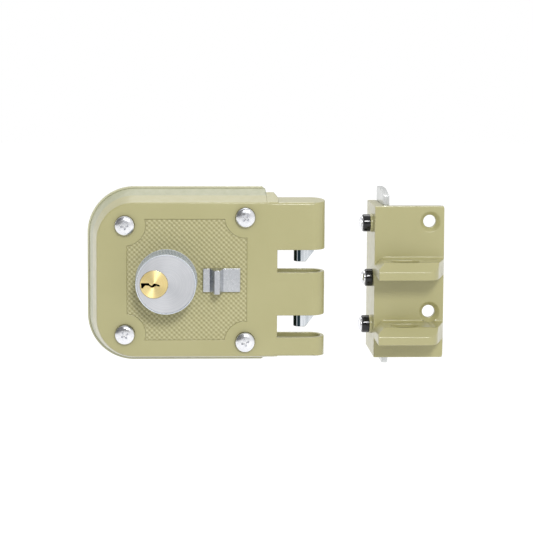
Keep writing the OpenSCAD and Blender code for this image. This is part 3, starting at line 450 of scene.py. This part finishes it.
def plastic(name, rgb, dust, roughness):
    """Glossy black moulding with fine dust and a faint ripple."""
    s = Shader(name, rgb, 0, roughness)
    tone = s.blend(s.span(s.noise(2600, 2, 0.7), 0, 0.5, 0.62, 0.8), rgb, dust)
    rough = s.span(s.noise(600, 3), roughness - 0.05, roughness + 0.12)
    return s.finish(tone, rough, s.bump(s.noise(240, 2), 0.02, 0.35))


MATS = {
    "painted_zinc": paint("painted_zinc", (178, 173, 124), (173, 168, 118), (200, 196, 158),
                          rear=((174, 175, 141), (164, 166, 131))),
    "painted_plate": paint("painted_plate", (208, 206, 174), (198, 197, 164), (216, 214, 186)),
    "zinc_plated_steel": brushed("zinc_plated_steel", (190, 196, 200), (140, 147, 152), 0.34,
                                 (1, 1, 0.15), 1100, 0.006, (118, 124, 122)),
    "chrome_screw": brushed("chrome_screw", (246, 246, 248), (222, 224, 230), 0.24, (1, 1, 1), 700, 0.004),
    "satin_chrome": collar_metal("satin_chrome", (226, 231, 238), (196, 205, 216), (84, 100, 118)),
    "satin_chrome_face": turned("satin_chrome_face", (220, 221, 224), (188, 191, 197), 0.36, CYL_X,
                                0.3, 0.3),
    "brass": brushed("brass", (226, 184, 96), (182, 138, 62), 0.3, (1, 1, 0.2), 900, 0.006, (140, 104, 56)),
    "brass_plug": turned("brass_plug", (255, 240, 184), (236, 200, 110), 0.4, 0.0, 0.22, 0.85,
                         (58, 34, 14)),
    "spring_steel": brushed("spring_steel", (120, 124, 132), (78, 82, 96), 0.28, (1, 1, 0.1), 1200, 0.005,
                            (96, 84, 66)),
    "cast_zinc": brushed("cast_zinc", (168, 171, 174), (132, 136, 140), 0.46, (1, 1, 1), 520, 0.03,
                         (104, 106, 108)),
    "bolt_steel": bolt_metal("bolt_steel", (218, 222, 226), (178, 186, 193), (34, 50, 56)),
    "satin_nickel": brushed("satin_nickel", (212, 214, 217), (180, 183, 188), 0.3, (1, 0.2, 1), 900, 0.003),
    "bright_zinc_plate": brushed("bright_zinc_plate", (228, 229, 226), (186, 189, 190), 0.3,
                                 (1, 1, 0.12), 800, 0.005, (214, 208, 186)),
    "black_plastic": plastic("black_plastic", (14, 14, 15), (44, 44, 46), 0.12),
}
# Door screw heads, with a painted shade ring at their edge
SCREW_HEADS = brushed("pan_head_chrome", (246, 246, 248), (222, 224, 230), 0.24, (1, 1, 1), 700, 0.004,
                      rim=(84, 84, 80))
# Knurl paint: its base is a lighter, painted-light copy of the case paint, with painted shade at the foot of
# its valleys
KNURL_SHADED_PAINT = paint("knurled_paint", (204, 200, 157), (198, 194, 150), (212, 208, 170), 0.62, 0.0,
                valleys=(150, 143, 98))
node_slot = {p["node"]: p["material_slot"] for p in frame["record"]["subparts"]}
for node, ob in frame["nodes"].items():
    ob.data.materials.clear()
    ob.data.materials.append(MATS[node_slot[node]])


# Mesh helpers
def metre_piece(bm, name, node, replaces, sharp, weighted=True, slot=None, mat=None):
    """Turn a bmesh in metres into a piece that rides with the node it belongs to.
    Edges bent by more than sharp degrees stay sharp."""
    slot = slot or node_slot[node]
    bm.normal_update()
    for f in bm.faces:
        f.smooth = True
    for e in bm.edges:
        e.smooth = not (len(e.link_faces) == 2 and e.calc_face_angle() > math.radians(sharp))
    me = bpy.data.meshes.new(name)
    bm.to_mesh(me)
    bm.free()
    ob = bpy.data.objects.new(name, me)
    scene.collection.objects.link(ob)
    me.materials.append(mat or MATS[slot])
    if weighted:
        mod = ob.modifiers.new("weighted", "WEIGHTED_NORMAL")
        mod.keep_sharp = True
    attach(ob, frame["nodes"][node]["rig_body"])
    if replaces:
        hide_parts(*replaces)


def piece(bm, *details, **more):
    """The same for a bmesh in millimetres."""
    bmesh.ops.scale(bm, verts=bm.verts, vec=(MM, MM, MM))
    metre_piece(bm, *details, **more)


# Rounding works in metres: vertices closer than WELD are one, and the edge at a corner lies within
# POST_REACH of it
WELD, POST_REACH = 2e-6, 2e-4
FLAT, ROUNDED_FROM = math.radians(1), math.radians(32)


def rounded(node, width, inner, corners):
    """Copy of a node with its edges rounded, the inner ones too if asked.
    Corners lists (X, Z) places where the edges along Y are rounded first, by CORNER_R.
    What the rounding throws well off the node's surface or out of its box is put back."""
    bm = bmesh.new()
    bm.from_mesh(frame["nodes"][node].data)
    surface = BVHTree.FromBMesh(bm)
    lo, hi = ([pick(v.co[k] for v in bm.verts) for k in range(3)] for pick in (min, max))
    bmesh.ops.remove_doubles(bm, verts=bm.verts, dist=WELD)
    bmesh.ops.dissolve_limit(bm, angle_limit=FLAT, verts=bm.verts, edges=bm.edges)
    posts = [e for e in bm.edges for x, z in corners
             if all(abs(v.co.x - x * MM) < POST_REACH and abs(v.co.z - z * MM) < POST_REACH for v in e.verts)]
    if posts:
        bmesh.ops.bevel(bm, geom=posts, offset=CORNER_R * MM, offset_type="OFFSET", segments=4,
                        profile=0.5, affect="EDGES", clamp_overlap=True)
    edges = [e for e in bm.edges if len(e.link_faces) == 2 and e.calc_face_angle() > ROUNDED_FROM
             and (inner or e.is_convex)]
    bmesh.ops.bevel(bm, geom=edges, offset=width * MM, offset_type="OFFSET", segments=2,
                    profile=0.5, affect="EDGES", clamp_overlap=False)
    for v in bm.verts:
        near, _, _, gap = surface.find_nearest(v.co)
        if gap > 0.6 * width * MM:
            v.co = near
        v.co = [min(max(c, a), b) for c, a, b in zip(v.co, lo, hi)]
    metre_piece(bm, node + "_look", node, (node,), 40)


def ring_faces(bm, a, b):
    """Quads between two rings of vertices."""
    n = len(a)
    for k in range(n):
        bm.faces.new((a[k], a[(k + 1) % n], b[(k + 1) % n], b[k]))


def capped(bm, a, b):
    """Closed solid between two outlines of vertices."""
    bm.faces.new(a)
    bm.faces.new(list(reversed(b)))
    n = len(a)
    for k in range(n):
        bm.faces.new((a[k], b[k], b[(k + 1) % n], a[(k + 1) % n]))


def lathe(bm, profile, place, segments=64):
    """Turn (radius, height) points round Z and put them where place says."""
    angles = [2 * math.pi * k / segments for k in range(segments)]
    rows = []
    for r, h in profile:
        points = [(r * math.cos(a), r * math.sin(a), h) for a in angles] if r else [(0, 0, h)]
        rows.append([bm.verts.new(place @ Vector(p)) for p in points])
    for a, b in zip(rows, rows[1:]):
        if len(a) == 1:
            for k in range(segments):
                bm.faces.new((a[0], b[k], b[(k + 1) % segments]))
        elif len(b) == 1:
            for k in range(segments):
                bm.faces.new((a[k], a[(k + 1) % segments], b[0]))
        else:
            ring_faces(bm, a, b)


def rectangle(x0, x1, z0, z1):
    return [(x0, z0), (x1, z0), (x1, z1), (x0, z1)]


def arc(cx, cz, r, a0, a1, n):
    """Points of an arc in X and Z, both ends included."""
    return [(cx + r * math.cos(math.radians(a0 + (a1 - a0) * k / n)),
             cz + r * math.sin(math.radians(a0 + (a1 - a0) * k / n))) for k in range(n + 1)]


def prism(outline, y0, y1):
    """A closed prism of an (X, Z) outline from y0 to y1."""
    bm = bmesh.new()
    near, far = ([bm.verts.new((x, y, z)) for x, z in outline] for y in (y0, y1))
    capped(bm, near, far)
    return bm


def carve(bm, cutters, operation="DIFFERENCE"):
    """Cut closed bmeshes out of a closed bmesh, or keep what they share."""
    dummies = []
    for part in [bm] + cutters:
        bmesh.ops.recalc_face_normals(part, faces=part.faces)
        me = bpy.data.meshes.new("carve")
        part.to_mesh(me)
        part.free()
        ob = bpy.data.objects.new("carve", me)
        scene.collection.objects.link(ob)
        dummies.append(ob)
    for cutter in dummies[1:]:
        mod = dummies[0].modifiers.new("cut", "BOOLEAN")
        mod.operation = operation
        mod.solver = "EXACT"
        mod.object = cutter
    graph = bpy.context.evaluated_depsgraph_get()
    me = bpy.data.meshes.new_from_object(dummies[0].evaluated_get(graph))
    out = bmesh.new()
    out.from_mesh(me)
    for ob in dummies:
        old = ob.data
        bpy.data.objects.remove(ob)
        bpy.data.meshes.remove(old)
    bpy.data.meshes.remove(me)
    return out


# Turns of a lathe: its height runs out of the door, or to the left out of the strike's flange
OUT = Matrix(((1, 0, 0), (0, 0, -1), (0, 1, 0))).to_4x4()
SIDE = Matrix(((0, 0, -1), (0, 1, 0), (1, 0, 0))).to_4x4()

# Rounded copies of the castings and stampings; the case's inner edges stay as the CAD has them
for node, width in EDGE_WIDTHS.items():
    rounded(node, width, node != "case_body", STRIKE_CORNERS if node == "strike_angle" else ())


# Knurled field of the sunken panel: a sheet, cut 0.02 before its back, and its margin in the panel
SHEET_BACK_Y, FIELD_BACK_Y, FIELD_MARGIN = KNURL_FOOT_Y + 0.08, KNURL_FOOT_Y + 0.06, 0.12


def panel_outline(shrink):
    """The panel's outline, smaller by shrink, with an arc round each of the four screw pads."""
    x0, x1, z0, z1 = PANEL
    middle_x = (x0 + x1) / 2
    corners = rectangle(x0 + shrink, x1 - shrink, z0 + shrink, z1 - shrink)
    r = PAD_R + shrink
    points = []
    pads = [DOOR_SCREWS[k] for k in (1, 3, 2, 0)]
    for (cx, cz), (ex, ez), backwards in zip(pads, corners, (False, True, False, True)):
        on_side = math.sqrt(r * r - (ex - cx) ** 2)
        on_end = math.sqrt(r * r - (ez - cz) ** 2)
        side = (ex, cz + math.copysign(on_side, -cz))
        end = (cx + math.copysign(on_end, middle_x - cx), ez)
        a0 = math.degrees(math.atan2(side[1] - cz, side[0] - cx))
        a1 = math.degrees(math.atan2(end[1] - cz, end[0] - cx))
        a1 += 360 * round((a0 - a1) / 360)
        run = arc(cx, cz, r, a0, a1, 20)
        points += reversed(run) if backwards else run
    return points


def knurl_sheet():
    """Slab whose front has two crossing sets of ridges; those that fall to the right are higher."""
    bm = bmesh.new()
    cols = int((PANEL[1] - PANEL[0]) / KNURL_X * 2) + 4
    rows = int((PANEL[3] - PANEL[2]) / KNURL_Z * 2) + 4

    def vertex(i, j, height):
        x = PANEL[0] + (i - 1) * KNURL_X / 2
        z = PANEL[2] + (j - 1) * KNURL_Z / 2
        return bm.verts.new((x, KNURL_FOOT_Y - height, z))

    top = [[vertex(i, j, 0 if (i + j) % 2 else RIDGE + CROSS_RIDGE) for i in range(cols + 1)]
           for j in range(rows + 1)]
    for j in range(rows):
        for i in range(cols):
            middle = vertex(i + 0.5, j + 0.5, RIDGE if (i + j) % 2 else CROSS_RIDGE)
            q = (top[j][i], top[j][i + 1], top[j + 1][i + 1], top[j + 1][i])
            for k in range(4):
                bm.faces.new((q[k], q[(k + 1) % 4], middle))
    edge = top[0] + [row[cols] for row in top[1:]]
    edge += top[rows][cols - 1::-1] + [row[0] for row in top[rows - 1:0:-1]]
    back = [bm.verts.new((v.co.x, SHEET_BACK_Y, v.co.z)) for v in edge]
    ring_faces(bm, edge, back)
    bm.faces.new(list(reversed(back)))
    return bm


def panel_knurl():
    """The sheet inside the panel's outline, with room for the collar and the slide's stem."""
    before, behind = -22, -20
    field = prism(panel_outline(FIELD_MARGIN), -21.5, FIELD_BACK_Y)
    bm = carve(knurl_sheet(), [field], "INTERSECT")
    hole = prism(arc(CYL_X, 0, COLLAR_BASE_R + 0.02, 0, 360, 96)[:-1], before, behind)
    bm = carve(bm, [hole, prism(rectangle(*STEM), before, behind)])
    piece(bm, "panel_knurl", "case_body", (), 10, weighted=False, mat=KNURL_SHADED_PAINT)


panel_knurl()


# Collar, with a diamond knurl round its side
def collar():
    bm = bmesh.new()

    def ring(r, y, depth=0, phase=0):
        """Ring of vertices, every other one sunk by depth."""
        out = []
        for k in range(COLLAR_SIDES):
            a = 2 * math.pi * k / COLLAR_SIDES
            rr = r - (depth if (k + phase) % 2 else 0)
            out.append(bm.verts.new((CYL_X + rr * math.cos(a), y, rr * math.sin(a))))
        return out

    rows = [ring(collar_r(y), y) for y in (PANEL_Y, -21.3)]
    first = len(rows)
    y0, y1 = COLLAR_KNURL_Y
    for j in range(COLLAR_KNURL_ROWS + 1):
        y = y0 + (y1 - y0) * j / COLLAR_KNURL_ROWS
        rows.append(ring(collar_r(y), y, COLLAR_KNURL_DEPTH, j))
    last = len(rows) - 1
    # Rolled rim, flat front and the bore for the cylinder's head and body
    play = 0.05
    rest = [(collar_r(-32.95) - 0.12, -32.95), (collar_r(-33.35) - 0.18, -33.35),
            (collar_r(COLLAR_FRONT_Y) - 0.34, COLLAR_FRONT_Y), (HEAD_R + 0.17, COLLAR_FRONT_Y),
            (HEAD_R + 0.06, -33.38), (HEAD_R + play, HEAD_SEAT_Y), (BODY_R + play, HEAD_SEAT_Y),
            (BODY_R + play, PANEL_Y)]
    rows += [ring(r, y) for r, y in rest]
    rows.append(rows[0])
    for j, (a, b) in enumerate(zip(rows, rows[1:])):
        if not first <= j < last:
            ring_faces(bm, a, b)
            continue
        for k in range(COLLAR_SIDES):
            q = (a[k], a[(k + 1) % COLLAR_SIDES], b[(k + 1) % COLLAR_SIDES], b[k])
            # Each square is split along the line that joins its two sunk corners
            if (k + j - first) % 2:
                bm.faces.new((q[0], q[1], q[2]))
                bm.faces.new((q[0], q[2], q[3]))
            else:
                bm.faces.new((q[0], q[1], q[3]))
                bm.faces.new((q[1], q[2], q[3]))
    bmesh.ops.recalc_face_normals(bm, faces=bm.faces)
    piece(bm, "collar_knurled", "cylinder_collar", ("cylinder_collar",), 24, weighted=False)


collar()


# Plug with the outline of its keyway, its pin chambers, clip groove and tail slot
# Cutters leave the play round a piece and reach OVER past the plug's surface
CLIP_GROOVE, PLAY, OVER, CHAMBERS = 1, 0.1, 1, 5


def mm_box(node):
    """Low and high corner of a CAD node, in millimetres."""
    return [[c / MM for c in corner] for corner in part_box(node)]


def tail_slot(back):
    (x0, front, z0), (x1, _, z1) = mm_box("tailpiece")
    return prism(rectangle(x0 - PLAY, x1 + PLAY, z0 - PLAY, z1 + PLAY), front - PLAY, back + OVER)


def pin_chambers():
    """Cutters round the row of key pins, out through the plug's side."""
    (x0, y0, z0), (x1, y1, z1) = mm_box("key_pins")
    r = (z1 - z0) / 2
    turn = Matrix.Rotation(math.radians(90), 4, "Y")
    chambers = []
    for k in range(CHAMBERS):
        y = y0 + r + (y1 - y0 - 2 * r) * k / (CHAMBERS - 1)
        cutter = bmesh.new()
        lathe(cutter, [(0, x0), (r + PLAY, x0), (r + PLAY, PLUG_R + OVER), (0, PLUG_R + OVER)],
              Matrix.Translation((0, y, 0)) @ turn, 32)
        chambers.append(cutter)
    return chambers


def plug():
    back = mm_box("plug")[1][1]
    clip_front, clip_back = (corner[1] for corner in mm_box("plug_clip"))
    length = back - HEAD_Y
    low, high = back - clip_back - PLAY, back - clip_front + PLAY
    bm = bmesh.new()
    lathe(bm, [(0, 0), (PLUG_R, 0), (PLUG_R, low), (PLUG_R - CLIP_GROOVE, low), (PLUG_R - CLIP_GROOVE, high),
               (PLUG_R, high), (PLUG_R, length - 0.25), (PLUG_R - 0.08, length - 0.08),
               (PLUG_R - 0.25, length), (0, length)], Matrix.Translation((0, back, 0)) @ OUT, 96)
    bm = carve(bm, [prism(KEYWAY, HEAD_Y - OVER, KEYWAY_BACK_Y), tail_slot(back)] + pin_chambers())
    piece(bm, "plug_face", "plug", ("plug",), 30)


plug()

# Door screws: domed heads with cross recesses, and threads
SCREW_TURNS = (8, 30, 52, 18)
SCREW_HEAD_R, SCREW_HEAD_H, SCREW_RIM_H = 4.6, 2.7, 0.7
SHANK_R, THREAD_R, THREAD_PITCH = 1.8, 2.3, 1.8
THREAD_START, POINT_START, POINT_END = 19, 33.2, 38


def cross_cutters(turn):
    """Two crossing bars that taper inwards: half length, half width and height of each end."""
    ends = ((2.1, 0.48, SCREW_HEAD_H + 0.4), (1.1, 0.34, SCREW_HEAD_H - 1.05))
    cutters = []
    for a in (turn, turn + 90):
        bm = bmesh.new()
        c, s = math.cos(math.radians(a)), math.sin(math.radians(a))
        rings = []
        for half_l, half_w, h in ends:
            corners = rectangle(-half_l, half_l, -half_w, half_w)
            rings.append([bm.verts.new((x * c - y * s, x * s + y * c, h)) for x, y in corners])
        capped(bm, *rings)
        cutters.append(bm)
    return cutters


def screw_head(turn):
    """Head with a short stub below it, where the shank begins."""
    r, dome = SCREW_HEAD_R, SCREW_HEAD_H - SCREW_RIM_H
    profile = [(0, -3), (THREAD_R, -3), (THREAD_R, 0), (r - 0.12, 0), (r, 0.12), (r, SCREW_RIM_H)]
    steps = 12
    for k in range(1, steps):
        a = math.radians(90 * k / steps)
        profile.append((r * math.cos(a) ** 0.6, SCREW_RIM_H + dome * math.sin(a) ** 0.85))
    profile.append((0, SCREW_HEAD_H))
    bm = bmesh.new()
    lathe(bm, profile, Matrix.Identity(4))
    return carve(bm, cross_cutters(turn))


def screw_shank(bm, n=32):
    """Threaded shank along -Z from the head, with a drawn point."""
    heights = [0.0]
    h = THREAD_START
    while h < POINT_END - 0.05:
        heights.append(h)
        h += THREAD_PITCH / 8
    rows = []
    for h in heights:
        threaded = h > THREAD_START + THREAD_PITCH / 2
        base = SHANK_R if h > THREAD_START else THREAD_R
        along = (h - POINT_START) / (POINT_END - POINT_START)
        taper = 1 if h < POINT_START else max(0.1, 1 - along)
        row = []
        for k in range(n):
            t = (h / THREAD_PITCH - k / n) % 1
            ridge = max(0.0, 1 - abs(t - 0.5) * 4.2) ** 1.2 if threaded else 0
            r = (base + (THREAD_R - base) * ridge) * taper
            a = 2 * math.pi * k / n
            row.append(bm.verts.new((r * math.cos(a), r * math.sin(a), -h)))
        rows.append(row)
    for a, b in zip(rows, rows[1:]):
        ring_faces(bm, a, b)
    tip = bm.verts.new((0, 0, -POINT_END))
    for k in range(n):
        bm.faces.new((rows[-1][k], rows[-1][(k + 1) % n], tip))
    bm.faces.new(list(reversed(rows[0])))


def door_screws():
    total = bmesh.new()
    for (x, z), turn in zip(DOOR_SCREWS, SCREW_TURNS):
        screw = screw_head(turn)
        screw_shank(screw)
        bmesh.ops.recalc_face_normals(screw, faces=screw.faces)
        bmesh.ops.transform(screw, matrix=Matrix.Translation((x, FRONT_Y, z)) @ OUT, verts=screw.verts)
        me = bpy.data.meshes.new("part")
        screw.to_mesh(me)
        screw.free()
        total.from_mesh(me)
        bpy.data.meshes.remove(me)
    piece(total, "door_screws_cross", "door_screws", ("door_screws",), 32, mat=SCREW_HEADS)


door_screws()

# Fittings on the strike's flange: painted bosses, black bushings and domed screws
FITTING_R, FITTING_BORE_R, DOME_R = 4.3, 2.25, 3.25


def boss_profile(stub):
    r, bore = FITTING_R, FITTING_BORE_R
    return [(bore, 0), (r, 0), (r, stub - 0.25), (r - 0.2, stub), (bore, stub), (bore, 0)]


def bushing_profile(stub, length):
    r, bore = FITTING_R, FITTING_BORE_R
    return [(bore, stub), (r - 0.3, stub), (r - 0.2, stub + 0.15), (r - 0.2, length - 0.9),
            (r - 0.25, length - 0.45), (r - 0.6, length - 0.12), (r - 0.95, length), (bore, length),
            (bore, stub)]


def dome_profile(length, tip):
    """Pointed shank through the flange, then the dome that stands on the bushing."""
    foot, steps = length + 0.1, 10
    shank = [(0, -20), (0.5, -18.9), (2.0, -16), (2.0, length - 0.1), (3.2, length - 0.1), (DOME_R, foot)]
    angles = [math.radians(90 * k / steps) for k in range(1, steps)]
    return shank + [(DOME_R * math.cos(a), foot + (tip - foot) * math.sin(a)) for a in angles] + [(0, tip)]


def side_fittings():
    bosses, bushes, domes = bmesh.new(), bmesh.new(), bmesh.new()
    for (z, length, tip), stub in zip(SIDE_SCREWS, BOSSES):
        place = Matrix.Translation((STRIKE_X, SIDE_Y, z)) @ SIDE
        if stub:
            lathe(bosses, boss_profile(stub), place)
        lathe(bushes, bushing_profile(stub, length), place)
        lathe(domes, dome_profile(length, tip), place)
    for bm in (bosses, bushes, domes):
        bmesh.ops.remove_doubles(bm, verts=bm.verts, dist=1e-5)
        bmesh.ops.recalc_face_normals(bm, faces=bm.faces)
    piece(bosses, "bushing_bosses", "strike_bushings", (), 40, slot="painted_zinc")
    piece(bushes, "bushings_turned", "strike_bushings", ("strike_bushings",), 40)
    piece(domes, "side_screws_domed", "strike_screws", ("strike_screws",), 40)


side_fittings()


# Floor: height and half its side in metres, its paint, and the glow that hides most of it
FLOOR_Z, FLOOR_HALF = -0.2, 4
FLOOR_GREY, FLOOR_GLOW, GLOW_SHARE = 0.8, 1.2, 0.8


def floor_stage():
    """Ground below the lock, which the camera, gloss and glass see as nearly white."""
    bm = bmesh.new()
    bmesh.ops.create_grid(bm, x_segments=2, y_segments=2, size=FLOOR_HALF)
    me = bpy.data.meshes.new("floor")
    bm.to_mesh(me)
    bm.free()
    floor = bpy.data.objects.new("floor", me)
    scene.collection.objects.link(floor)
    floor.location = (0, 0, FLOOR_Z)
    ground = bpy.data.materials.new("floor")
    ground.use_nodes = True
    tree = ground.node_tree
    matte = tree.nodes["Principled BSDF"]
    matte.inputs["Base Color"].default_value = (FLOOR_GREY, FLOOR_GREY, FLOOR_GREY, 1)
    matte.inputs["Roughness"].default_value = 0.9
    glow = node_in(tree, "ShaderNodeEmission")
    glow.inputs["Strength"].default_value = FLOOR_GLOW
    share = maths_in(tree, "MULTIPLY", rays_in(tree, *DIRECT), GLOW_SHARE)
    mix_in(tree, share, matte, glow, "Material Output")
    me.materials.append(ground)


floor_stage()
